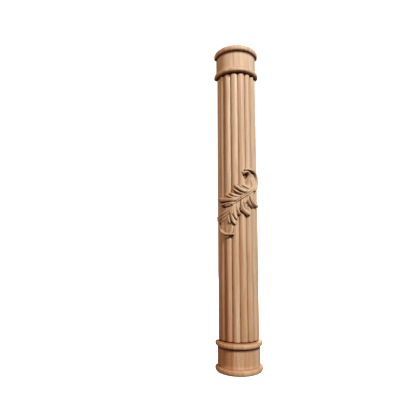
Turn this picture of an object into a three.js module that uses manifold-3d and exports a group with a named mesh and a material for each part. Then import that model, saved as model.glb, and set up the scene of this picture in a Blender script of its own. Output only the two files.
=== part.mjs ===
import * as THREE from 'three';
import { mergeVertices } from 'three/addons/utils/BufferGeometryUtils.js';
import Module from 'manifold-3d';

// Half-round column: a blank is turned and reeded, sawn in half along its axis, and an
// acanthus leaf with a scroll is carved across the middle of the shaft.
// Millimetres, +Z up. The sawn back faces +Y and the crown of the column faces -Y.

// Turned sizes
const column_length = 700;
const ring_diameter = 100;
const drum_diameter = 90;
const shaft_diameter = 87.4;
const end_ring_height = 12.3;
const drum_height = 38.6;
const inner_ring_height = 11.1;
const ring_squareness = 2.5;

// Reeds on the shaft
const reed_count = 8;
const reed_radius = 8;
const reed_depth = 4.6;
const nose_length = 3.4;
const neck_height = 0.2;
const shoulder_height = 0.2;

// Leaf and scroll
const leaf_height = 140;
const leaf_rise = 6.1;
const leaf_offset = 0;
const leaf_edge_sink = 2;
const leaf_root_depth = 1.5;
const plain_reed_by_leaf = 4;

// Facets
const bead_steps = 6;
const nose_steps = 3;
const leaf_rows = 4;
const reed_columns = [-1, -0.78, -0.42, 0, 0.42, 0.78, 1];

const ring_radius = ring_diameter / 2;
const drum_radius = drum_diameter / 2;
const shaft_radius = shaft_diameter / 2;
const ground_radius = shaft_radius - reed_depth;
const back_y = ring_radius / 2;
const middle_z = column_length / 2;
const reed_pitch = Math.PI / reed_count;
const reed_centre = shaft_radius - reed_radius;

// A point of the column: angle from the crown, distance from the turning axis, height
function onColumn(angle, radius, z) {
  return new THREE.Vector3(radius * Math.sin(angle), back_y - radius * Math.cos(angle), z);
}

// Reed surface at an angle from the reed's own middle; the noses are ball ends, so the
// section shrinks with the depth gone into the ball.
function reedRadius(angle, into_nose) {
  const section = Math.sqrt(Math.max(0, reed_radius ** 2 - into_nose ** 2));
  const across = reed_centre * Math.sin(angle);
  if (section <= Math.abs(across)) return ground_radius;
  const surface = reed_centre * Math.cos(angle) + Math.sqrt(section ** 2 - across ** 2);
  return Math.max(ground_radius, surface);
}

// Angles of the facet lines, and for each its distance from the middle of its reed
function facetLines() {
  const lines = [];
  for (let reed = 0; reed < reed_count; reed += 1) {
    const middle = -Math.PI / 2 + (reed + 0.5) * reed_pitch;
    const shares = reed === 0 ? reed_columns : reed_columns.slice(1);
    for (const share of shares) {
      const offset = share * reed_pitch / 2;
      lines.push({ angle: middle + offset, offset });
    }
  }
  return lines;
}

// One end of the column, from the outer face inwards: distance from the end and radius.
// The rings are full beads, a little squarer than half ellipses.
function endProfile() {
  const profile = [];
  const squarer = (share) => Math.sign(share) * Math.abs(share) ** (2 / ring_squareness);
  const bead = (start, height, outer_radius, inner_radius) => {
    for (let step = 0; step <= bead_steps; step += 1) {
      const turn = Math.PI * step / bead_steps;
      const foot = step * 2 < bead_steps ? outer_radius : inner_radius;
      profile.push({
        inset: start + height * (1 - squarer(Math.cos(turn))) / 2,
        radius: foot + (ring_radius - foot) * squarer(Math.sin(turn)),
      });
    }
  };
  const inner_ring_start = end_ring_height + drum_height;
  const neck_start = inner_ring_start + inner_ring_height + shoulder_height;
  bead(0, end_ring_height, drum_radius, drum_radius);
  bead(inner_ring_start, inner_ring_height, drum_radius, shaft_radius);
  profile.push({ inset: neck_start, radius: ground_radius });
  // The noses of the reeds rise from the neck
  const nose_start = neck_start + neck_height;
  const visible_nose = Math.sqrt(reed_radius ** 2 - (ground_radius - reed_centre) ** 2);
  for (let step = 0; step <= nose_steps; step += 1) {
    const into_nose = visible_nose * Math.cos(Math.PI / 2 * step / nose_steps);
    const inset = nose_start + nose_length * (1 - into_nose / visible_nose);
    profile.push({ inset, into_nose });
  }
  return profile;
}

// A closed body from loops of points: walls between neighbours, a fan on each end.
// The last point of each loop is the one that the fans start from.
function loftedGeometry(loops) {
  const count = loops[0].length;
  const positions = [];
  const indices = [];
  for (const loop of loops) {
    for (const point of loop) positions.push(point.x, point.y, point.z);
  }
  for (let row = 0; row < loops.length - 1; row += 1) {
    for (let i = 0; i < count; i += 1) {
      const here = row * count + i;
      const next = row * count + (i + 1) % count;
      indices.push(here, next, here + count, next, next + count, here + count);
    }
  }
  const top = (loops.length - 1) * count;
  for (let i = 0; i < count - 2; i += 1) {
    indices.push(count - 1, i + 1, i);
    indices.push(top + count - 1, top + i, top + i + 1);
  }
  const geometry = new THREE.BufferGeometry();
  geometry.setAttribute('position', new THREE.Float32BufferAttribute(positions, 3));
  geometry.setIndex(indices);
  return geometry;
}

// Turned and reeded half column
function turnedGeometry() {
  const lines = facetLines();
  const half = endProfile();
  const lower = half.map((row) => ({ ...row, z: row.inset }));
  const upper = half.map((row) => ({ ...row, z: column_length - row.inset })).reverse();
  const between = [];
  const leaf_zone = leaf_height + 2 * plain_reed_by_leaf;
  for (let row = 0; row <= leaf_rows; row += 1) {
    const z = middle_z + leaf_offset + leaf_zone * (row / leaf_rows - 0.5);
    between.push({ z, into_nose: 0 });
  }
  const loops = [...lower, ...between, ...upper].map((row) => {
    const loop = lines.map((line) => {
      const radius = row.radius ?? reedRadius(line.offset, row.into_nose);
      return onColumn(line.angle, radius, row.z);
    });
    loop.push(onColumn(0, 0, row.z));
    return loop;
  });
  return loftedGeometry(loops);
}

// The leaf is drawn flat, as if the shaft's surface were unrolled: s runs round the shaft
// from the crown, to the right, and z up from the middle of the leaf. Distances along a
// line of the drawing are in millimetres at the drawn height, headings and turns in
// degrees, counted anticlockwise from the direction of s.
const drawn_height = 140;
const drawing_scale = leaf_height / drawn_height;
const midrib = {
  start: [42, 33],
  heading: 215,
  arcs: [[52, 0], [34, 40], [40, 4]],
};

// Fingers of the leaf, in the order in which they leave the midrib: distance along the
// midrib, heading, turn, length, width on the right and left hand of the walk, and rise as a
// share of the leaf's own rise.
const upper_fingers = [
  { at: 10, heading: 214, turn: -86, length: 47, right: 7.4, left: 3.2, rise: 1 },
  { at: 12, heading: 200, turn: -76, length: 38, right: 2.6, left: 2, rise: 1 },
  { at: 9, heading: 193, turn: -55, length: 28, right: 6, left: 1.8, rise: 0.84 },
  { at: 27, heading: 196, turn: -66, length: 34, right: 3, left: 1.8, rise: 0.95 },
  { at: 39, heading: 190, turn: -50, length: 31, right: 4.2, left: 1.9, rise: 0.9 },
  { at: 47, heading: 184, turn: -46, length: 34, right: 3.4, left: 1.9, rise: 0.95 },
  { at: 50, heading: 174, turn: 4, length: 52, right: 3.4, left: 8.6, rise: 1 },
  { at: 62, heading: 174, turn: 24, length: 34, right: 2.4, left: 2.4, rise: 0.76 },
  { at: 58, heading: 208, turn: -20, length: 26, right: 2.2, left: 2.2, rise: 0.76 },
  { at: 76, heading: 206, turn: -2, length: 44, right: 4, left: 4.5, rise: 0.8 },
  { at: 84, heading: 216, turn: -26, length: 41, right: 4, left: 3.6, rise: 0.72 },
  { at: 92, heading: 224, turn: -44, length: 34, right: 4, left: 3, rise: 0.68 },
];
const lower_fingers = [
  { at: 16, heading: 268, turn: 70, length: 30, right: 3.6, left: 3.6, rise: 0.66 },
  { at: 19, heading: 258, turn: 98, length: 43, right: 5.2, left: 6.2, rise: 1 },
  { at: 24, heading: 243, turn: 95, length: 35, right: 2.2, left: 2.4, rise: 1 },
  { at: 40, heading: 268, turn: 34, length: 28, right: 2.2, left: 4, rise: 0.8 },
  { at: 45, heading: 268, turn: 56, length: 40, right: 6.4, left: 4, rise: 1 },
  { at: 56, heading: 262, turn: 34, length: 29, right: 2.4, left: 3.8, rise: 0.82 },
  { at: 62, heading: 252, turn: 46, length: 35, right: 2.6, left: 3.6, rise: 0.88 },
  { at: 68, heading: 248, turn: 54, length: 41, right: 3.4, left: 5, rise: 1 },
  { at: 77, heading: 242, turn: 46, length: 31, right: 2.6, left: 3.6, rise: 0.84 },
];

// Walks a line of the drawing in arcs, each a length and the turn made over it
function walkArcs({ start, heading, arcs }) {
  return (distance) => {
    let [s, z] = start;
    let direction = heading * Math.PI / 180;
    let left = distance;
    arcs.forEach(([length, turn], index) => {
      const last = index === arcs.length - 1;
      const gone = last ? left : Math.min(left, length);
      const bend = turn * Math.PI / 180 * gone / length;
      const chord = Math.abs(bend) < 1e-6 ? gone : gone * Math.sin(bend / 2) / (bend / 2);
      s += chord * Math.cos(direction + bend / 2);
      z += chord * Math.sin(direction + bend / 2);
      direction += bend;
      left -= gone;
    });
    return { s, z, direction };
  };
}

// Value read off a list of [share, value] pairs, straight between them
function along(pairs) {
  return (share) => {
    const after = pairs.findIndex(([place]) => place >= share);
    if (after <= 0) return pairs[after === 0 ? 0 : pairs.length - 1][1];
    const [place_a, value_a] = pairs[after - 1];
    const [place_b, value_b] = pairs[after];
    return value_a + (value_b - value_a) * (share - place_a) / (place_b - place_a);
  };
}

// Height across a strip as a share of its rise. The section runs from the edge on the
// right hand of the walk to the one on the left: rims and floor level make it a round
// roll or a gouged hollow, and a squarer section keeps its height nearer to the edges.
const across_strip = [-1, -0.86, -0.5, 0, 0.5, 0.86, 1];
const roll = { right: 1, floor: 1, left: 1, squareness: 2.4 };
function crossHeight(v, { right, floor, left, squareness }) {
  const rim = v < 0 ? right : left;
  return (floor + (rim - floor) * v ** 2) * Math.sqrt(1 - Math.abs(v) ** squareness);
}

// A carved strip that follows a line of the drawing, rooted below the reeds
function stripGeometry({ line, from, to, stations, right_width, left_width, rise, section }) {
  const root_radius = ground_radius - leaf_root_depth;
  const loops = stations.map((share) => {
    const place = line(from + (to - from) * share);
    const leftwards = place.direction + Math.PI / 2;
    const crest = leaf_rise * rise(share) + leaf_edge_sink;
    const top = [];
    const bottom = [];
    for (const v of across_strip) {
      const sideways = v * (v < 0 ? right_width(share) : left_width(share));
      const s = (place.s + sideways * Math.cos(leftwards)) * drawing_scale;
      const z = (place.z + sideways * Math.sin(leftwards)) * drawing_scale;
      const angle = s / shaft_radius;
      const height = middle_z + leaf_offset + z;
      const radius = shaft_radius - leaf_edge_sink + crest * crossHeight(v, section(share));
      top.push(onColumn(angle, radius, height));
      bottom.unshift(onColumn(angle, root_radius, height));
    }
    return [...top, ...bottom];
  });
  return stripSolid(loops, across_strip.length);
}

// Walls between the loops, and end walls made of a strip between top and bottom points
function stripSolid(loops, width) {
  const count = loops[0].length;
  const positions = loops.flatMap((loop) => loop.flatMap((p) => [p.x, p.y, p.z]));
  const indices = [];
  for (let row = 0; row < loops.length - 1; row += 1) {
    for (let i = 0; i < count; i += 1) {
      const here = row * count + i;
      const next = row * count + (i + 1) % count;
      indices.push(here, here + count, next, next, here + count, next + count);
    }
  }
  const end = (loops.length - 1) * count;
  for (let i = 0; i < width - 1; i += 1) {
    const under = count - 1 - i;
    indices.push(i, i + 1, under, i + 1, under - 1, under);
    indices.push(end + i, end + under, end + i + 1);
    indices.push(end + i + 1, end + under, end + under - 1);
  }
  const geometry = new THREE.BufferGeometry();
  geometry.setAttribute('position', new THREE.Float32BufferAttribute(positions, 3));
  geometry.setIndex(indices);
  return geometry;
}

// Fingers leave the midrib as low ridges and swell towards their blunt, lifted tips. They are
// made fuller than they are drawn, because flat facets cut the corners of a round.
const root_rise = 0.72;
const finger_fullness = 1.35;
const finger_stations = [0, 0.25, 0.5, 0.7, 0.84, 0.94, 1];
const finger_taper = along([[0, 0.7], [0.5, 0.92], [0.75, 1], [0.88, 0.95], [0.95, 0.72], [1, 0.35]]);
const finger_lift = along([[0, 0], [0.5, 0.35], [0.85, 1], [0.93, 1], [1, 0.8]]);
const tip_fall = along([[0, 1], [0.9, 1], [0.95, 0.92], [1, 0.7]]);

function fingerGeometry(finger) {
  const root = walkArcs(midrib)(finger.at);
  const line = walkArcs({
    start: [root.s, root.z],
    heading: finger.heading,
    arcs: [[finger.length, finger.turn]],
  });
  return stripGeometry({
    line,
    from: 0,
    to: finger.length,
    stations: finger_stations,
    right_width: (share) => finger.right * finger_fullness * finger_taper(share),
    left_width: (share) => finger.left * finger_fullness * finger_taper(share),
    rise: (share) => tip_fall(share) * (root_rise + (finger.rise - root_rise) * finger_lift(share)),
    section: () => roll,
  });
}

// Flesh of the leaf beside the midrib, from which the fingers spring
function bladeGeometry() {
  return stripGeometry({
    line: walkArcs(midrib),
    from: 6,
    to: 120,
    stations: [0, 0.12, 0.25, 0.4, 0.55, 0.68, 0.85, 1],
    right_width: along([[0, 7], [0.17, 14], [0.3, 18], [0.47, 21], [0.64, 22], [0.79, 19], [1, 9]]),
    left_width: along([[0, 7], [0.1, 16], [0.24, 18], [0.4, 24], [0.53, 27], [0.67, 20], [0.79, 13], [1, 9]]),
    rise: along([[0, 0.55], [0.24, 0.6], [0.47, 0.6], [0.7, 0.56], [0.85, 0.46], [1, 0.35]]),
    section: () => ({ right: 0.2, floor: 1, left: 0.2, squareness: 8 }),
  });
}

// Raised cord of the midrib
function midribGeometry() {
  const half_width = along([[0, 2.6], [0.6, 1.8], [1, 1]]);
  return stripGeometry({
    line: walkArcs(midrib),
    from: 0,
    to: 104,
    stations: [0, 0.2, 0.4, 0.52, 0.64, 0.76, 0.88, 1],
    right_width: half_width,
    left_width: half_width,
    rise: along([[0, 1], [0.6, 0.88], [1, 0.5]]),
    section: () => roll,
  });
}

// Hollow end of the leaf, and the lip that is rolled up round its tip
function cupGeometry() {
  return stripGeometry({
    line: walkArcs(midrib),
    from: 80,
    to: 129,
    stations: [0, 0.25, 0.45, 0.62, 0.78, 0.9, 1],
    right_width: along([[0, 12], [0.4, 16], [0.7, 17.5], [0.9, 14.5], [1, 9]]),
    left_width: along([[0, 9], [0.4, 12], [0.7, 15], [0.9, 15], [1, 11]]),
    rise: along([[0, 0.5], [0.4, 0.76], [1, 0.9]]),
    section: () => ({ right: 1, floor: 0.42, left: 1, squareness: 8 }),
  });
}

function lipGeometry() {
  const lip = { start: [-45.5, -50], heading: 285, arcs: [[22, 48], [24, 62]] };
  const half_width = along([[0, 1.6], [0.35, 3], [0.8, 3.4], [1, 2.6]]);
  return stripGeometry({
    line: walkArcs(lip),
    from: 0,
    to: 46,
    stations: [0, 0.16, 0.33, 0.5, 0.67, 0.84, 1],
    right_width: half_width,
    left_width: half_width,
    rise: along([[0, 0.7], [0.4, 1], [0.9, 1], [1, 0.8]]),
    section: () => roll,
  });
}

// Scroll above the leaf: a cove that deepens under a raised outer rim, and along its inner
// side a cord that curls into a knob
function scrollCoveGeometry() {
  return stripGeometry({
    line: walkArcs({ start: [33, 26], heading: 49, arcs: [[25, 43], [17, 60], [14, 36], [7, 38]] }),
    from: 0,
    to: 58,
    stations: [0, 0.2, 0.4, 0.55, 0.7, 0.85, 1],
    right_width: along([[0, 3], [0.2, 7], [0.5, 7], [0.7, 5], [1, 3]]),
    left_width: along([[0, 3], [0.25, 11], [0.4, 13], [0.55, 9], [0.7, 6], [1, 3]]),
    rise: () => 1,
    section: (share) => ({
      right: along([[0, 0.95], [0.3, 0.85], [0.6, 0.5], [1, 0.4]])(share),
      floor: along([[0, 0.9], [0.25, 0.62], [0.5, 0.3], [0.7, 0.15], [1, 0.15]])(share),
      left: along([[0, 0.7], [0.25, 0.3], [0.5, 0.2], [1, 0.1]])(share),
      squareness: 8,
    }),
  });
}

function scrollRimGeometry() {
  return stripGeometry({
    line: walkArcs({ start: [40, 28], heading: 58, arcs: [[16, 22], [18, 42], [14, 38], [18, 30]] }),
    from: 0,
    to: 66,
    stations: [0, 0.14, 0.28, 0.42, 0.56, 0.7, 0.84, 0.94, 1],
    right_width: along([[0, 2.4], [0.7, 2.2], [1, 1.8]]),
    left_width: along([[0, 3.5], [0.3, 3], [0.7, 2], [1, 2]]),
    rise: along([[0, 0.9], [0.3, 1], [0.8, 1], [1, 0.8]]),
    section: () => roll,
  });
}

function scrollCordGeometry() {
  return stripGeometry({
    line: walkArcs({ start: [24, 39.5], heading: 86, arcs: [[16, 4], [12, 80], [7, 60], [4, 20]] }),
    from: 0,
    to: 37,
    stations: [0, 0.2, 0.38, 0.5, 0.62, 0.74, 0.84, 0.94, 1],
    right_width: along([[0, 2.5], [0.4, 2.2], [0.7, 2.4], [0.88, 3], [1, 2.8]]),
    left_width: along([[0, 3], [0.3, 5], [0.5, 4.5], [0.7, 2.8], [1, 2.8]]),
    rise: along([[0, 0.1], [0.4, 0.6], [0.65, 0.9], [0.88, 1], [1, 0.8]]),
    section: () => roll,
  });
}

const wasm = await Module();
wasm.setup();

// A closed geometry as a solid that can be joined
function solidOf(geometry) {
  const merged = mergeVertices(geometry, 1e-4);
  return new wasm.Manifold(new wasm.Mesh({
    numProp: 3,
    vertProperties: new Float32Array(merged.attributes.position.array),
    triVerts: new Uint32Array(merged.index.array),
  }));
}

function geometryOf(solid) {
  const mesh = solid.getMesh();
  const geometry = new THREE.BufferGeometry();
  geometry.setAttribute('position', new THREE.BufferAttribute(mesh.vertProperties, 3));
  geometry.setIndex(new THREE.BufferAttribute(mesh.triVerts, 1));
  geometry.computeVertexNormals();
  return geometry;
}

function columnGeometry() {
  const carved = [
    bladeGeometry(),
    cupGeometry(),
    midribGeometry(),
    lipGeometry(),
    scrollCoveGeometry(),
    scrollRimGeometry(),
    scrollCordGeometry(),
    ...upper_fingers.map(fingerGeometry),
    ...lower_fingers.map(fingerGeometry),
  ];
  let solid = solidOf(turnedGeometry());
  for (const geometry of carved) solid = solid.add(solidOf(geometry));
  return geometryOf(solid);
}

const pale_beech = new THREE.MeshStandardMaterial({ color: '#c9a784', roughness: 0.6, metalness: 0 });
const column = new THREE.Mesh(columnGeometry(), pale_beech);
column.name = 'half_round_column';

const part = new THREE.Group();
part.add(column);

export default part;
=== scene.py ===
import math
import bpy
import numpy as np
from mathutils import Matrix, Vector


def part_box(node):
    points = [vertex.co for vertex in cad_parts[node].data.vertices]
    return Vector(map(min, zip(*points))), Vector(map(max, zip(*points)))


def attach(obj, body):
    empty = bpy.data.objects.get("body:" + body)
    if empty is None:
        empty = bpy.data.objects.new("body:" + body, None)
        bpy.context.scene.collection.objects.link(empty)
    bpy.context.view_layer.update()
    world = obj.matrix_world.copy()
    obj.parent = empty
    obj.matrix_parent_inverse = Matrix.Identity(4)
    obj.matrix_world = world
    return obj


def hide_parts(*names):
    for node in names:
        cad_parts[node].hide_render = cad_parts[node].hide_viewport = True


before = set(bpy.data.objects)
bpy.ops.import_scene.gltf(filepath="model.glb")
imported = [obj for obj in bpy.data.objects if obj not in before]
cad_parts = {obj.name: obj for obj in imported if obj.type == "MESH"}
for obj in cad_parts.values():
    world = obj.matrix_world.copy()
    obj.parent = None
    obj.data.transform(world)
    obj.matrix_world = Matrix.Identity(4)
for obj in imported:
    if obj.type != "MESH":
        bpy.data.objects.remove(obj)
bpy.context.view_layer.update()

# The blank
# One length of bare beech, turned between centres: a bead, a plain drum and a second bead at
# each end, and a thinner shaft between them. It is sawn in half along its axis, so its back
# is flat. Sizes are in millimetres, which mm turns to metres.
mm = 0.001
low, high = (np.array(corner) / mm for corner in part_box("half_round_column"))
middle_z = (low[2] + high[2]) / 2
ring_radius = (high[0] - low[0]) / 2
back_y = high[1]
drum_radius = 45
shaft_radius = 43.7
end_bead_height = 12.3
drum_height = 38.6
inner_bead_height = 11.1
bead_squareness = 2.5
arris = 0.35
bead_rows = 18
drum_rows = 5


def bead_profile(start, height, outer_radius, inner_radius):
    """Full bead between two radii: distances from the end of the column, and radii. Its
    section is a little squarer than a half ellipse."""
    turn = np.linspace(0, np.pi, bead_rows)
    foot = np.where(turn < np.pi / 2, outer_radius, inner_radius)
    power = 2 / bead_squareness
    across = np.sign(np.cos(turn)) * np.abs(np.cos(turn)) ** power
    inset = start + height * (1 - across) / 2
    return inset, foot + (ring_radius - foot) * np.abs(np.sin(turn)) ** power


# The reeds
# Eight half-round reeds are run down the shaft with a moulding cutter. They meet in sharp
# grooves, and end at each inner bead in a short neck with a ball nose on each reed.
reed_count = 8
reed_pitch = np.pi / reed_count
reed_radius = 8
reed_depth = 4.6
ground_radius = shaft_radius - reed_depth
reed_centre = shaft_radius - reed_radius
shoulder_height = 0.2
neck_height = 0.2
nose_length = 3.4
nose_rows = 12
plain_rows = 7
columns_per_reed = 28

angles = np.linspace(-np.pi / 2, np.pi / 2, reed_count * columns_per_reed + 1)
from_reed_middle = (angles + np.pi / 2) % reed_pitch - reed_pitch / 2
in_groove = np.arange(len(angles)) % columns_per_reed == 0
from_reed_middle[-1] = reed_pitch / 2


def reed_surface(into_nose):
    """Radius at every column, where a nose has shrunk the reed by the given depth."""
    section = np.sqrt(np.maximum(0, reed_radius**2 - into_nose**2))
    across = reed_centre * np.sin(from_reed_middle)
    bulge = np.sqrt(np.maximum(0, section**2 - across**2))
    surface = reed_centre * np.cos(from_reed_middle) + bulge
    return np.where(np.abs(across) < section, np.maximum(ground_radius, surface), ground_radius)


def end_rows():
    """Rows of one end, from its face inwards: distance from the end, radii at the columns."""
    whole = np.ones(len(angles))
    rows = []
    end_bead = bead_profile(0, end_bead_height, drum_radius, drum_radius)
    rows += [(inset, radius * whole) for inset, radius in zip(*end_bead)]
    for share in np.linspace(0, 1, drum_rows + 2)[1:-1]:
        rows.append((end_bead_height + drum_height * share, drum_radius * whole))
    inner_start = end_bead_height + drum_height
    inner_bead = bead_profile(inner_start, inner_bead_height, drum_radius, shaft_radius)
    rows += [(inset, radius * whole) for inset, radius in zip(*inner_bead)]
    neck_start = inner_start + inner_bead_height + shoulder_height
    rows.append((neck_start, ground_radius * whole))
    nose_start = neck_start + neck_height
    nose_depth = math.sqrt(reed_radius**2 - (ground_radius - reed_centre) ** 2)
    for turn in np.linspace(0, np.pi / 2, nose_rows):
        inset = nose_start + nose_length * (1 - math.cos(turn))
        rows.append((inset, reed_surface(nose_depth * math.cos(turn))))
    return rows


# The leaf
# An acanthus leaf with a scroll, carved by hand with gouges in the thickness that the blank
# keeps round its middle. It is drawn flat on the unrolled shaft: s runs round from the crown
# to the right, z up from the middle. Headings and turns are in degrees, anticlockwise from s.
leaf_rise = 6.1
leaf_edge_sink = 2
leaf_bottom = -80
leaf_top = 78
leaf_row_height = 0.56
edge_slope = 3
fillet = 0.5
foot_fillet = 0.3
hidden_depth = 2
deepest_under_grooves = 1
least_below_ring = 0.1
far_below = -20.0
station_step = 0.5
finger_stations = 21

midrib = {"start": (42, 33), "heading": 215, "arcs": [(52, 0), (34, 40), (40, 4)]}

# Fingers in the order in which they leave the midrib: distance along the midrib, heading,
# turn, length, half width on the right and left hand of the walk, rise at the tip
upper_fingers = [
    (10, 214, -86, 47, 7.4, 3.2, 1),
    (12, 200, -76, 38, 2.6, 2.0, 1),
    (9, 193, -55, 28, 6.0, 1.8, 0.84),
    (27, 196, -66, 34, 3.0, 1.8, 0.95),
    (39, 190, -50, 31, 4.2, 1.9, 0.9),
    (47, 184, -46, 34, 3.4, 1.9, 0.95),
    (50, 174, 4, 52, 3.4, 8.6, 1),
    (62, 174, 24, 34, 2.4, 2.4, 0.76),
    (58, 208, -20, 26, 2.2, 2.2, 0.76),
    (76, 206, -2, 44, 4.0, 4.5, 0.76),
    (84, 216, -26, 41, 4.0, 3.6, 0.66),
    (92, 224, -44, 34, 4.0, 3.0, 0.62),
]
lower_fingers = [
    (16, 268, 70, 30, 3.6, 3.6, 0.66),
    (19, 258, 98, 43, 4.6, 6.2, 1),
    (24.5, 243, 89, 37, 2.2, 2.4, 1),
    (40, 268, 34, 28, 2.2, 4.0, 0.8),
    (45, 268, 56, 40, 6.4, 4.0, 1),
    (56, 262, 34, 29, 2.4, 3.8, 0.82),
    (62, 252, 46, 35, 2.6, 3.6, 0.88),
    (68, 248, 54, 41, 3.4, 5.0, 1),
    (77, 242, 46, 31, 2.6, 3.6, 0.84),
]
root_rise = 0.67
finger_taper = ([0, 0.5, 0.75, 0.86, 0.93, 0.975, 1], [0.75, 0.95, 1, 0.97, 0.85, 0.62, 0.4])
finger_lift = ([0, 0.5, 0.85, 0.93, 1], [0, 0.35, 1, 1, 0.8])
tip_fall = ([0, 0.9, 0.95, 1], [1, 1, 0.95, 0.8])
roll = {"right": 1, "floor": 1, "left": 1, "squareness": 2.4}


def walk(start, heading, arcs, distances):
    """Places and directions on a drawn line of arcs, each a length and the turn over it."""
    s = np.full(len(distances), float(start[0]))
    z = np.full(len(distances), float(start[1]))
    direction = np.full(len(distances), math.radians(heading))
    left = np.array(distances, float)
    for index, (length, turn) in enumerate(arcs):
        last = index == len(arcs) - 1
        gone = left if last else np.minimum(left, length)
        bend = math.radians(turn) * gone / length
        chord = gone * np.sinc(bend / 2 / np.pi)
        s = s + chord * np.cos(direction + bend / 2)
        z = z + chord * np.sin(direction + bend / 2)
        direction = direction + bend
        left = left - gone
    return s, z, direction


def reading(pairs):
    """Value at a share of the way, read off (shares, values), or the same value all along."""
    if np.isscalar(pairs):
        return lambda share: np.full(np.shape(share), float(pairs))
    return lambda share: np.interp(share, *pairs)


def place_on_line(line, start, end, s, z):
    """For points of the drawing: share of the way along a line, way past its ends, and
    distance from it, positive on the left hand of the walk."""
    stations = np.linspace(start, end, int((end - start) / station_step) + 1)
    line_s, line_z, direction = walk(line["start"], line["heading"], line["arcs"], stations)
    nearest = np.argmin((s[:, None] - line_s) ** 2 + (z[:, None] - line_z) ** 2, axis=1)
    offset_s = s - line_s[nearest]
    offset_z = z - line_z[nearest]
    heading = direction[nearest]
    forward = offset_s * np.cos(heading) + offset_z * np.sin(heading)
    leftward = offset_z * np.cos(heading) - offset_s * np.sin(heading)
    gone = stations[nearest] + forward
    beyond = np.maximum(0, np.maximum(start - gone, gone - end))
    share = np.clip((gone - start) / (end - start), 0, 1)
    return share, beyond, leftward


def strip_height(s, z, line, start, end, right_width, left_width, rise, section=roll):
    """Height over the shaft's own surface of a carved strip that follows a drawn line."""
    share, beyond, leftward = place_on_line(line, start, end, s, z)
    rightward = leftward < 0
    width = np.where(rightward, reading(right_width)(share), reading(left_width)(share))
    v = np.hypot(leftward, beyond) / width
    shape = {name: reading(value)(share) for name, value in section.items()}
    rim = np.where(rightward, shape["right"], shape["left"])
    inside = np.clip(v, 0, 1)
    across = (shape["floor"] + (rim - shape["floor"]) * inside**2)
    across = across * np.sqrt(1 - inside ** shape["squareness"])
    crest = leaf_rise * reading(rise)(share) + leaf_edge_sink
    return -leaf_edge_sink + crest * across - edge_slope * width * np.maximum(0, v - 1)


def soft_max(a, b, softness):
    """The higher of two surfaces, with a small fillet where they meet."""
    return (a + b + np.sqrt((a - b) ** 2 + softness**2)) / 2


def finger_strip(at, heading, turn, length, right_width, left_width, rise):
    """A finger as a strip: it swells out of the blade at its root and rolls over at its tip."""
    root_s, root_z, _ = walk(midrib["start"], midrib["heading"], midrib["arcs"], [at])
    shares = np.linspace(0, 1, finger_stations)
    swell = root_rise + (rise - root_rise) * np.interp(shares, *finger_lift)
    taper = np.interp(shares, *finger_taper)
    return {
        "line": {"start": (root_s[0], root_z[0]), "heading": heading, "arcs": [(length, turn)]},
        "start": 0,
        "end": length,
        "right_width": (shares, right_width * taper),
        "left_width": (shares, left_width * taper),
        "rise": (shares, swell * np.interp(shares, *tip_fall)),
    }


blade = {
    "line": midrib, "start": 6, "end": 120,
    "right_width": ([0, 0.17, 0.3, 0.47, 0.64, 0.79, 1], [7, 14, 18, 21, 22, 19, 9]),
    "left_width": ([0, 0.1, 0.24, 0.4, 0.53, 0.67, 0.79, 1], [7, 16, 18, 24, 27, 20, 13, 9]),
    "rise": ([0, 0.24, 0.47, 0.7, 0.85, 1], [0.55, 0.6, 0.6, 0.56, 0.46, 0.35]),
    "section": {"right": 0.2, "floor": 1, "left": 0.2, "squareness": 8},
}
midrib_cord = {
    "line": midrib, "start": 0, "end": 104,
    "right_width": ([0, 0.6, 1], [2.6, 1.8, 1]),
    "left_width": ([0, 0.6, 1], [2.6, 1.8, 1]),
    "rise": ([0, 0.6, 1], [1, 0.88, 0.5]),
}
cup = {
    "line": midrib, "start": 80, "end": 129,
    "right_width": ([0, 0.4, 0.7, 0.9, 1], [12, 16, 17.5, 14.5, 9]),
    "left_width": ([0, 0.4, 0.7, 0.9, 1], [9, 12, 15, 15, 11]),
    "rise": ([0, 0.4, 1], [0.5, 0.76, 0.9]),
    "section": {"right": 1, "floor": 0.42, "left": 1, "squareness": 8},
}
lip = {
    "line": {"start": (-45.5, -50), "heading": 285, "arcs": [(22, 48), (24, 62)]},
    "start": 0, "end": 41,
    "right_width": ([0, 0.35, 0.8, 1], [1.6, 3, 3.4, 2.6]),
    "left_width": ([0, 0.35, 0.8, 1], [1.6, 3, 3.4, 2.6]),
    "rise": ([0, 0.4, 0.9, 1], [0.7, 1, 1, 0.8]),
}
scroll_cove = {
    "line": {"start": (33, 26), "heading": 49, "arcs": [(25, 43), (17, 60), (14, 36), (7, 38)]},
    "start": 0, "end": 58,
    "right_width": ([0, 0.2, 0.5, 0.7, 1], [3, 7, 7, 5, 3]),
    "left_width": ([0, 0.25, 0.4, 0.55, 0.7, 1], [3, 11, 13, 9, 6, 3]),
    "rise": 1,
    "section": {
        "right": ([0, 0.3, 0.6, 1], [0.95, 0.85, 0.5, 0.4]),
        "floor": ([0, 0.25, 0.5, 0.7, 1], [0.9, 0.66, 0.42, 0.28, 0.2]),
        "left": ([0, 0.25, 0.5, 0.7, 1], [0.7, 0.2, 0.1, 0.1, 0.1]),
        "squareness": 8,
    },
}
scroll_rim = {
    "line": {"start": (40, 26.5), "heading": 58, "arcs": [(16, 22), (18, 42), (14, 38), (18, 30)]},
    "start": 0, "end": 66,
    "right_width": ([0, 0.3, 0.7, 1], [2.4, 2.4, 3, 2.4]),
    "left_width": ([0, 0.3, 0.7, 1], [3.5, 3.0, 1.6, 1.6]),
    "rise": ([0, 0.3, 0.8, 1], [0.9, 0.94, 0.94, 0.8]),
    "section": {"right": 1, "floor": 1, "left": 1, "squareness": 8},
}
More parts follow.
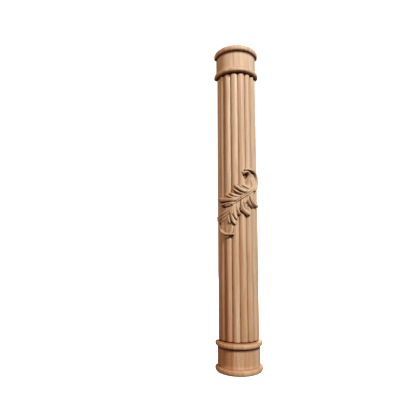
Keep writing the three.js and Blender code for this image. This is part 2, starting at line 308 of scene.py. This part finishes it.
scroll_cord = {
    "line": {"start": (24, 39.5), "heading": 86, "arcs": [(16, 4), (12, 80), (7, 60), (4, 20)]},
    "start": 0, "end": 37,
    "right_width": ([0, 0.4, 0.7, 0.88, 1], [2.5, 2.2, 2.6, 2.8, 2.6]),
    "left_width": ([0, 0.3, 0.5, 0.7, 0.85, 1], [3, 5, 4.5, 2.8, 3, 2.8]),
    "rise": ([0, 0.4, 0.65, 0.88, 1], [0, 0.6, 1, 1, 0.8]),
}

# Gouge cuts that are run last, for the dark lines and eyes between the fingers: start,
# heading, arcs, half width and depth
cuts = [
    ((7, 63), 301, [(17, 4)], ([0, 0.6, 1], [1.5, 2.3, 1.6]), 6),
    ((21, 57.5), 240, [(8, 0)], ([0, 0.5, 1], [1, 1.5, 1.5]), 4.5),
    ((14.5, 56.5), 0, [(3, 0)], 1.8, 4.5),
    ((16, 66.8), 4, [(9, -14), (11, -30)], ([0, 0.4, 1], [0.7, 1, 2]), 2.6),
    ((31, 63), 250, [(8, 0)], ([0, 0.4, 1], [2.6, 2.6, 1.6]), 1.6),
    ((40, 33.5), 215, [(50, 0), (14, -12)], 1.2, 2),
    ((22, 15.5), 215, [(30, 0), (10, -8)], 1, 1.7),
    ((-6, 1), 187, [(14, -6), (30, -3)], ([0, 0.3, 1], [1, 1.5, 2.2]), 3.4),
    ((-12, -7.6), 199, [(18, -8)], 1.6, 3.2),
    ((-30.5, -11), 182, [(7, 0)], 3.2, 5),
    ((-15, -6.6), 184, [(3, 0)], 1.6, 3.5),
    ((20, -2.6), 172, [(4, 20), (4.5, 80)], 1.6, 5),
    ((17.5, 1), 290, [(6, 12), (13, 34)], ([0, 0.4, 1], [0.9, 1.5, 1.7]), 4.6),
    ((22, 12), 275, [(8, 12), (9, 26), (15, 16)], ([0, 0.4, 1], [1, 1.4, 1.8]), 4.6),
    ((9.3, -2), 270, [(11, 16), (7, 40)], 1.4, 2.8),
    ((3, 3), 262, [(20, 10)], 1.5, 2.2),
    ((1, -15), 268, [(7, 56), (16, -8)], 3, 4.6),
    ((-3, -20), 283, [(10, 20)], 1.7, 3),
    ((-13.5, -27), 289, [(14, 22)], 1.5, 4.8),
    ((-20.5, -22), 268, [(18, 24), (12, 20)], 2, 3),
    ((-15.5, -42), 290, [(9, 24)], ([0, 0.6, 1], [1.8, 3.4, 2.8]), 5),
    ((-22.5, -43), 290, [(6, 50)], 1.4, 3.6),
    ((-46.5, -53), 272, [(6, 0)], 2.6, 4),
    ((-37, -68), 325, [(8, 30), (10, 15)], 1.8, 2),
    ((-9.5, 34), 300, [(10, 16), (22, 40)], ([0, 0.35, 1], [2.2, 2.5, 1.1]), 4.2),
    ((-10, 22.5), 305, [(9, 25), (12, 24)], ([0, 0.35, 1], [1.8, 2, 1]), 3.4),
    ((-20, 15.5), 322, [(8, 18)], 1, 2.2),
    ((-28, 13.5), 325, [(12, 12)], 1.1, 2.6),
    ((-20, -24), 235, [(26, -14)], 0.9, 1.1),
    ((-23, -24), 252, [(26, -6)], 0.9, 1.1),
    ((-21, -28), 266, [(22, 4)], 0.9, 1.1),
]


def carved_height(s, z):
    """Height of the carving over the shaft's own surface at points of the drawing."""
    fingers = [finger_strip(*finger) for finger in upper_fingers + lower_fingers]
    height = np.full(len(s), far_below)
    for strip in [blade, cup, midrib_cord, lip, scroll_cove, scroll_rim, scroll_cord, *fingers]:
        height = soft_max(height, strip_height(s, z, **strip), fillet)
    return height


def cut_depth(s, z, start, heading, arcs, half_width, depth):
    """Depth of a round gouge cut that runs out at both ends."""
    length = sum(arc[0] for arc in arcs)
    line = {"start": start, "heading": heading, "arcs": arcs}
    share, beyond, leftward = place_on_line(line, 0, length, s, z)
    v = np.minimum(1, np.hypot(leftward, beyond) / reading(half_width)(share))
    run_out = 1 - np.abs(2 * share - 1) ** 4 / 2
    return depth * run_out * (1 - v**2) ** 2


def leaf_rows():
    """Rows of the stretch with the leaf: the carving over the reeds, with the cuts taken out."""
    count = int((leaf_top - leaf_bottom) / leaf_row_height)
    heights = np.linspace(leaf_bottom, leaf_top, count)
    grid_s, grid_z = np.meshgrid(angles * shaft_radius, heights)
    s, z = grid_s.ravel(), grid_z.ravel()
    carved = shaft_radius + carved_height(s, z).reshape(grid_s.shape)
    reeds = reed_surface(0)
    radii = soft_max(carved, reeds, foot_fillet)
    radii = np.where(carved < reeds - hidden_depth, reeds, radii)
    for cut in cuts:
        radii = radii - cut_depth(s, z, *cut).reshape(grid_s.shape)
    radii = np.clip(radii, ground_radius - deepest_under_grooves, ring_radius - least_below_ring)
    return [(middle_z + z, row) for z, row in zip(heights, radii)]


# The whole column as one skin
# Bead, drum, reeds and leaf are one piece of wood, so they are one closed mesh: rows of points
# round the half circle, one above the other from foot to top, joined to their neighbours. The
# last wall of each row is the sawn back, and a fan of triangles closes each end.
lower_rows = [(low[2] + inset, radii) for inset, radii in end_rows()]
upper_rows = [(high[2] - inset, radii) for inset, radii in reversed(end_rows())]
carved_rows = leaf_rows()


def plain_stretch(row_a, row_b):
    """Rows of plain reeds between two rows."""
    shares = np.linspace(0, 1, plain_rows + 2)[1:-1]
    return [(row_a[0] + (row_b[0] - row_a[0]) * share, reed_surface(0)) for share in shares]


rows = [
    *lower_rows,
    *plain_stretch(lower_rows[-1], carved_rows[0]),
    *carved_rows,
    *plain_stretch(carved_rows[-1], upper_rows[0]),
    *upper_rows,
]

row_z = np.array([z for z, _ in rows])
row_radii = np.array([radii for _, radii in rows])
row_count, column_count = row_radii.shape
arris_angle = np.arcsin(arris / row_radii[:, [0, -1]])
row_angles = np.tile(angles, (row_count, 1))
row_angles[:, 0] += arris_angle[:, 0]
row_angles[:, -1] -= arris_angle[:, 1]
front_x = row_radii * np.sin(row_angles)
front_y = back_y - row_radii * np.cos(row_angles)
skin = np.zeros((row_count, column_count + 2, 3))
skin[:, 1:-1, 0] = front_x
skin[:, 1:-1, 1] = front_y
skin[:, 0, 0] = -(row_radii[:, 0] - arris)
skin[:, -1, 0] = row_radii[:, -1] - arris
skin[:, [0, -1], 1] = back_y
skin[:, :, 2] = row_z[:, None]

loop_size = column_count + 2
vertices = skin.reshape(-1, 3)
row_index, place = np.meshgrid(np.arange(row_count - 1), np.arange(loop_size), indexing="ij")
here = row_index * loop_size + place
following = row_index * loop_size + (place + 1) % loop_size
walls = np.stack([here, following, following + loop_size, here + loop_size], -1).reshape(-1, 4)
bottom_centre = len(vertices)
top_centre = bottom_centre + 1
centre_y = back_y - drum_radius / 2
vertices = np.vstack([vertices, [[0, centre_y, low[2]], [0, centre_y, high[2]]]])
top_start = (row_count - 1) * loop_size
faces = walls.tolist()
for place_here in range(loop_size):
    place_next = (place_here + 1) % loop_size
    faces.append([place_next, place_here, bottom_centre])
    faces.append([top_start + place_here, top_start + place_next, top_centre])

mesh = bpy.data.meshes.new("carved_column")
mesh.from_pydata((vertices * mm).tolist(), [], faces)
mesh.update()
mesh.validate()

# Painted shade for the hollows: how far each place lies in a recess, 0 in the open, 1 where the
# wood round it and just above it stands well over it. The material darkens it red-brown by this.
hollow_reach = 2.4
hollow_lift = 1.6
hollow_start = 0.2
hollow_full = 2.5
hollow_curve = 1.3
even_step = 0.5
even_z = np.arange(low[2], high[2] + even_step, even_step)
even_radii = np.array([np.interp(even_z, row_z, line) for line in row_radii.T]).T


def blurred(values, step):
    """Mean of the neighbours within about the reach, for values that are a step apart."""
    places = np.arange(-3 * hollow_reach, 3 * hollow_reach + step, step)
    weights = np.exp(-((places / hollow_reach) ** 2) / 2)
    padded = np.pad(values, len(places) // 2, mode="edge")
    return np.convolve(padded, weights / weights.sum(), mode="valid")[: len(values)]


column_step = reed_pitch * shaft_radius / columns_per_reed
around = np.array([blurred(line, even_step) for line in even_radii.T]).T
around = np.array([blurred(row, column_step) for row in around])
around = np.array([np.interp(row_z + hollow_lift, even_z, line) for line in around.T]).T
hollow_shade = np.zeros((row_count, column_count + 2))
depth = (around - row_radii - hollow_start) / hollow_full
hollow_shade[:, 1:-1] = np.clip(depth, 0, 1) ** hollow_curve
hollow_shade_values = np.append(hollow_shade.ravel(), [0, 0])
mesh.attributes.new("hollow_shade", "FLOAT", "POINT").data.foreach_set("value", hollow_shade_values)

# Material slots of the faces: the turned and carved front is the first one
sawn_slot = 1
end_grain_slot = 2
back_face = np.tile(np.arange(loop_size) == loop_size - 1, row_count - 1)
slots = np.zeros(len(faces), int)
slots[: len(back_face)][back_face] = sawn_slot
slots[len(back_face):] = end_grain_slot
mesh.polygons.foreach_set("material_index", slots)
mesh.polygons.foreach_set("use_smooth", np.ones(len(faces), bool))

# Sharp edges: the arrises of the back, the rims of the two ends and the reeds' grooves
ends = np.zeros(len(mesh.edges) * 2, int)
mesh.edges.foreach_get("vertices", ends)
ends = ends.reshape(-1, 2)
edge_row = ends // loop_size
edge_place = ends % loop_size
along_column = edge_place[:, 0] == edge_place[:, 1]
arris_place = np.isin(edge_place[:, 0], [0, 1, loop_size - 2, loop_size - 1])
groove_place = np.isin(edge_place[:, 0], np.flatnonzero(in_groove) + 1)
carved_row = (row_z > middle_z + leaf_bottom) & (row_z < middle_z + leaf_top)
plain = ~carved_row[np.minimum(edge_row[:, 0], row_count - 1)]
rim = (edge_row[:, 0] == edge_row[:, 1]) & np.isin(edge_row[:, 0], [0, row_count - 1])
inside = (ends < bottom_centre).all(axis=1)
sharp = inside & (rim | (along_column & (arris_place | (groove_place & plain))))
mesh.attributes.new("sharp_edge", "BOOLEAN", "EDGE").data.foreach_set("value", sharp)

column = bpy.data.objects.new("carved_column", mesh)
bpy.context.scene.collection.objects.link(column)


# The wood
# Steamed beech, turned, carved and sanded, with no finish on it. The blank is glued up from
# two staves, and the one on the left is redder towards its foot, away from its outer skin.
stave_joint = -14.2
glue_line = 0.4
warm_start = 20
warm_end = 400
redder_inside = 45.5
paler_outside = 48.5


def linear(hex_colour):
    """Linear colour with alpha of an sRGB hex colour."""
    channels = [int(hex_colour[i:i + 2], 16) / 255 for i in (1, 3, 5)]
    powers = [c / 12.92 if c <= 0.04045 else ((c + 0.055) / 1.055) ** 2.4 for c in channels]
    return (*powers, 1)


def add_node(material, kind, inputs=None, **settings):
    """Adds a node. Inputs are values, or sockets of other nodes that are linked in, each
    under the name or the number of its socket."""
    node = material.node_tree.nodes.new(kind)
    for name, value in settings.items():
        setattr(node, name, value)
    for name, value in (inputs or {}).items():
        if isinstance(value, bpy.types.NodeSocket):
            material.node_tree.links.new(value, node.inputs[name])
        else:
            node.inputs[name].default_value = value
    return node


def new_material(name):
    """A material with no nodes yet."""
    material = bpy.data.materials.new(name)
    material.use_nodes = True
    material.node_tree.nodes.clear()
    return material


def streaks(material, place, sizes, low_value, high_value, detail=2.0):
    """Noise with spots of the given length along X, Y and Z in mm, spread to 0 to 1."""
    scale = [1 / (size * mm) for size in sizes]
    stretched = add_node(material, "ShaderNodeMapping", {"Vector": place, "Scale": scale})
    inputs = {"Vector": stretched.outputs["Vector"], "Scale": 1.0, "Detail": detail}
    noise = add_node(material, "ShaderNodeTexNoise", inputs).outputs["Fac"]
    spread = {"Value": noise, "From Min": low_value, "From Max": high_value}
    return add_node(material, "ShaderNodeMapRange", spread).outputs["Result"]


def tinted(material, hex_colour, layers):
    """Colour of the wood with tints laid over it in turn, each as far as its amount says."""
    colour = linear(hex_colour)
    for amount, tint in layers:
        inputs = {0: amount, 6: colour, 7: linear(tint)}
        settings = {"data_type": "RGBA", "blend_type": "MULTIPLY"}
        colour = add_node(material, "ShaderNodeMix", inputs, **settings).outputs[2]
    return colour


def finish(material, colour, roughness, height, depth):
    """Bare wood of a colour, with marks of the given depth in mm that follow a height."""
    bump = add_node(material, "ShaderNodeBump", {"Height": height, "Distance": depth * mm})
    inputs = {"Base Color": colour, "Roughness": roughness, "IOR": 1.5, "Normal": bump.outputs[0]}
    surface = add_node(material, "ShaderNodeBsdfPrincipled", inputs)
    add_node(material, "ShaderNodeOutputMaterial", {"Surface": surface.outputs["BSDF"]})


# Long grain that a sharp tool and fine sandpaper have smoothed: matt and pale pinkish tan,
# with straight fibres and short darker flecks. It grows warmer and darker towards the foot,
# partly its own tone and partly painted shade for the lamps' falloff. Painted shade also darkens
# the places that face straight up or down, such as the beads' shoulders and the carving's
# undersides, and paints the hollows red-brown.
def turned_and_carved_beech():
    material = new_material("turned_and_carved_beech")
    coordinates = add_node(material, "ShaderNodeTexCoord")
    place = coordinates.outputs["Object"]
    split = add_node(material, "ShaderNodeSeparateXYZ", {"Vector": place})
    # Warmer and darker towards the foot: partly the wood's own tone, partly painted shade for the
    # lamps' falloff
    downwards = {
        "Value": split.outputs["Z"], "From Min": warm_end * mm, "From Max": warm_start * mm,
    }
    warmth_and_falloff_shade = add_node(material, "ShaderNodeMapRange", downwards).outputs["Result"]

    left_edge = stave_joint - glue_line
    leftwards = {
        "Value": split.outputs["X"], "From Min": stave_joint * mm, "From Max": left_edge * mm,
    }
    stave = add_node(material, "ShaderNodeMapRange", leftwards).outputs["Result"]
    to_axis = {"Vector": place, "Location": (0, -back_y * mm, 0), "Scale": (1, 1, 0)}
    from_axis = add_node(material, "ShaderNodeMapping", to_axis).outputs[0]
    radius = add_node(material, "ShaderNodeVectorMath", {0: from_axis}, operation="LENGTH")
    inwards = {
        "Value": radius.outputs["Value"],
        "From Min": paler_outside * mm, "From Max": redder_inside * mm,
    }
    redder = add_node(material, "ShaderNodeMapRange", inwards).outputs["Result"]
    for share in (warmth_and_falloff_shade, stave):
        product = add_node(material, "ShaderNodeMath", {0: redder, 1: share}, operation="MULTIPLY")
        redder = product.outputs[0]

    # Painted shade: darker where the surface faces straight up or down, as on undersides
    slant = add_node(material, "ShaderNodeSeparateXYZ", {"Vector": coordinates.outputs["Normal"]})
    upright = add_node(material, "ShaderNodeMath", {0: slant.outputs["Z"]}, operation="ABSOLUTE")
    slanted = {"Value": upright.outputs[0], "From Min": 0.4, "From Max": 0.95}
    facing_shade = add_node(material, "ShaderNodeMapRange", slanted).outputs["Result"]

    # Real fibres and flecks are at most a few tenths of a millimetre wide, too fine to show,
    # so both are drawn about three times as wide
    figure = streaks(material, place, (7, 7, 260), 0.35, 0.65)
    fibre = streaks(material, place, (1.1, 1.1, 45), 0.4, 0.7, 4.0)
    fleck = streaks(material, place, (0.7, 0.7, 4), 0.64, 0.7)
    # Painted shade: red-brown darkening in the hollows that the mesh's attribute marks
    hollow_shade = add_node(material, "ShaderNodeAttribute", attribute_name="hollow_shade").outputs["Fac"]
    layers = [
        (warmth_and_falloff_shade, "#f8eadc"),
        (stave, "#fdf8f4"),
        (redder, "#ecd8cc"),
        (facing_shade, "#dccab4"),
        (figure, "#ebd8c6"),
        (fibre, "#e8d6c5"),
        (fleck, "#d3b295"),
        (hollow_shade, "#802e0a"),
    ]
    finish(material, tinted(material, "#decfb9", layers), 0.6, fibre, 0.05)
    return material


# Long grain as the bandsaw left it: duller, with a ridge across it about every 2.5 mm
def sawn_beech():
    material = new_material("sawn_beech")
    place = add_node(material, "ShaderNodeTexCoord").outputs["Object"]
    fibre = streaks(material, place, (1.1, 1.1, 45), 0.4, 0.7, 4.0)
    ridges = streaks(material, place, (160, 160, 2.5), 0.35, 0.65, 1.0)
    layers = [(fibre, "#e6d3c0"), (ridges, "#f4eadf")]
    finish(material, tinted(material, "#cdaf8f", layers), 0.8, ridges, 0.3)
    return material


# End grain as the saw left it: open pores drink the light, so it is darker and duller, with
# growth rings 3.5 mm apart about a pith that lies outside the blank
def end_grain_beech():
    material = new_material("end_grain_beech")
    place = add_node(material, "ShaderNodeTexCoord").outputs["Object"]
    pith = {"Vector": place, "Location": (-22 * mm, -70 * mm, 0)}
    from_pith = add_node(material, "ShaderNodeMapping", pith).outputs["Vector"]
    ring_width = 3.5
    # At scale 1 the texture has 20 radians of wave to a metre
    waves_per_unit = 20 / (2 * math.pi)
    ring_inputs = {"Vector": from_pith, "Scale": 1 / (ring_width * mm * waves_per_unit)}
    ring_settings = {"wave_type": "RINGS", "rings_direction": "Z", "wave_profile": "SAW"}
    rings = add_node(material, "ShaderNodeTexWave", ring_inputs, **ring_settings).outputs["Fac"]
    # Real pores are less than 0.1 mm wide, too fine to show, so groups of them are drawn
    pores = streaks(material, place, (0.5, 0.5, 2), 0.5, 0.7)
    layers = [(rings, "#dfc4ab"), (pores, "#d8bda4")]
    finish(material, tinted(material, "#b98e69", layers), 0.85, pores, 0.1)
    return material


for material in (turned_and_carved_beech(), sawn_beech(), end_grain_beech()):
    column.data.materials.append(material)

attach(column, "root")
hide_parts("half_round_column")


# The studio
# A pale floor that runs on into a white backdrop, and three soft lamps: the key lamp high on
# the right in front, a weaker warm one on the left, and one behind for the back. The camera
# stands low in front and looks up a little.
def glowing_paper(name, colour, glow):
    """Matt paper that also gives off some light of its own, so that it shows white."""
    material = new_material(name)
    matt = add_node(material, "ShaderNodeBsdfDiffuse", {"Color": linear(colour)})
    light = add_node(material, "ShaderNodeEmission", {"Color": linear(colour), "Strength": glow})
    both = add_node(material, "ShaderNodeAddShader", {0: matt.outputs[0], 1: light.outputs[0]})
    add_node(material, "ShaderNodeOutputMaterial", {"Surface": both.outputs["Shader"]})
    return material


floor_radius = 6.0
wall_height = 8.0
bend_radius = 1.0
bend_steps = 12
sweep_sides = 96
profile = [(floor_radius - bend_radius, 0)]
for step in range(1, bend_steps + 1):
    turn = math.pi / 2 * step / bend_steps
    out = floor_radius - bend_radius + bend_radius * math.sin(turn)
    profile.append((out, bend_radius - bend_radius * math.cos(turn)))
profile.append((floor_radius, wall_height))
sweep_vertices = []
for radius, z in profile:
    for side in range(sweep_sides):
        turn = 2 * math.pi * side / sweep_sides
        sweep_vertices.append((radius * math.cos(turn), radius * math.sin(turn), z))
sweep_faces = [list(range(sweep_sides))]
for ring in range(len(profile) - 1):
    for side in range(sweep_sides):
        a = ring * sweep_sides + side
        b = ring * sweep_sides + (side + 1) % sweep_sides
        sweep_faces.append([b, a, a + sweep_sides, b + sweep_sides])
sweep_mesh = bpy.data.meshes.new("studio_sweep")
sweep_mesh.from_pydata(sweep_vertices, [], sweep_faces)
sweep_mesh.polygons.foreach_set("use_smooth", np.ones(len(sweep_faces), bool))
sweep = bpy.data.objects.new("studio_sweep", sweep_mesh)
bpy.context.scene.collection.objects.link(sweep)
sweep_mesh.materials.append(glowing_paper("white_paper", "#ffffff", 1.0))
# The paper is seen by the camera but lights nothing, so that the lamps alone model the carving
sweep.visible_diffuse = False
sweep.visible_glossy = False

# A faint warm light from all round, as the room throws it back
world = bpy.data.worlds.new("studio_air")
world.use_nodes = True
world.node_tree.nodes["Background"].inputs["Color"].default_value = linear("#ffc9a4")
world.node_tree.nodes["Background"].inputs["Strength"].default_value = 0.09
bpy.context.scene.world = world


def soft_lamp(name, place, target, size, watts, colour):
    """A round lamp of the given width that faces its target."""
    light = bpy.data.lights.new(name, "AREA")
    light.shape = "DISK"
    light.size = size
    light.energy = watts
    light.color = linear(colour)[:3]
    lamp = bpy.data.objects.new(name, light)
    lamp.location = place
    towards = np.array(target) - np.array(place)
    flat = math.hypot(towards[0], towards[1])
    tip = math.atan2(flat, -towards[2])
    turn = math.atan2(-towards[0], towards[1])
    lamp.rotation_euler = (tip, 0, turn)
    bpy.context.scene.collection.objects.link(lamp)


middle = (0, 0, 0.35)
soft_lamp("key_lamp", (1.85, -2.25, 2.6), middle, 0.6, 158, "#fffaf4")
soft_lamp("fill_lamp", (-1.8, -1.6, 1.5), middle, 1.2, 30, "#ffdcc4")
soft_lamp("back_lamp", (0.9, 2.6, 1.6), middle, 0.8, 90, "#fffaf4")

# The camera's place, angles and lens were worked out from the column's outline in the photo
camera_data = bpy.data.cameras.new("camera")
camera_data.sensor_width = 36
camera_data.lens = 30.91
camera = bpy.data.objects.new("camera", camera_data)
camera.location = (-0.07498, -0.7607, 0.2423)
camera.rotation_mode = "XYZ"
camera.rotation_euler = (math.radians(90 + 7.22), math.radians(0.09), math.radians(-0.73))
bpy.context.scene.collection.objects.link(camera)
bpy.context.scene.camera = camera
bpy.context.scene.view_settings.view_transform = "Standard"
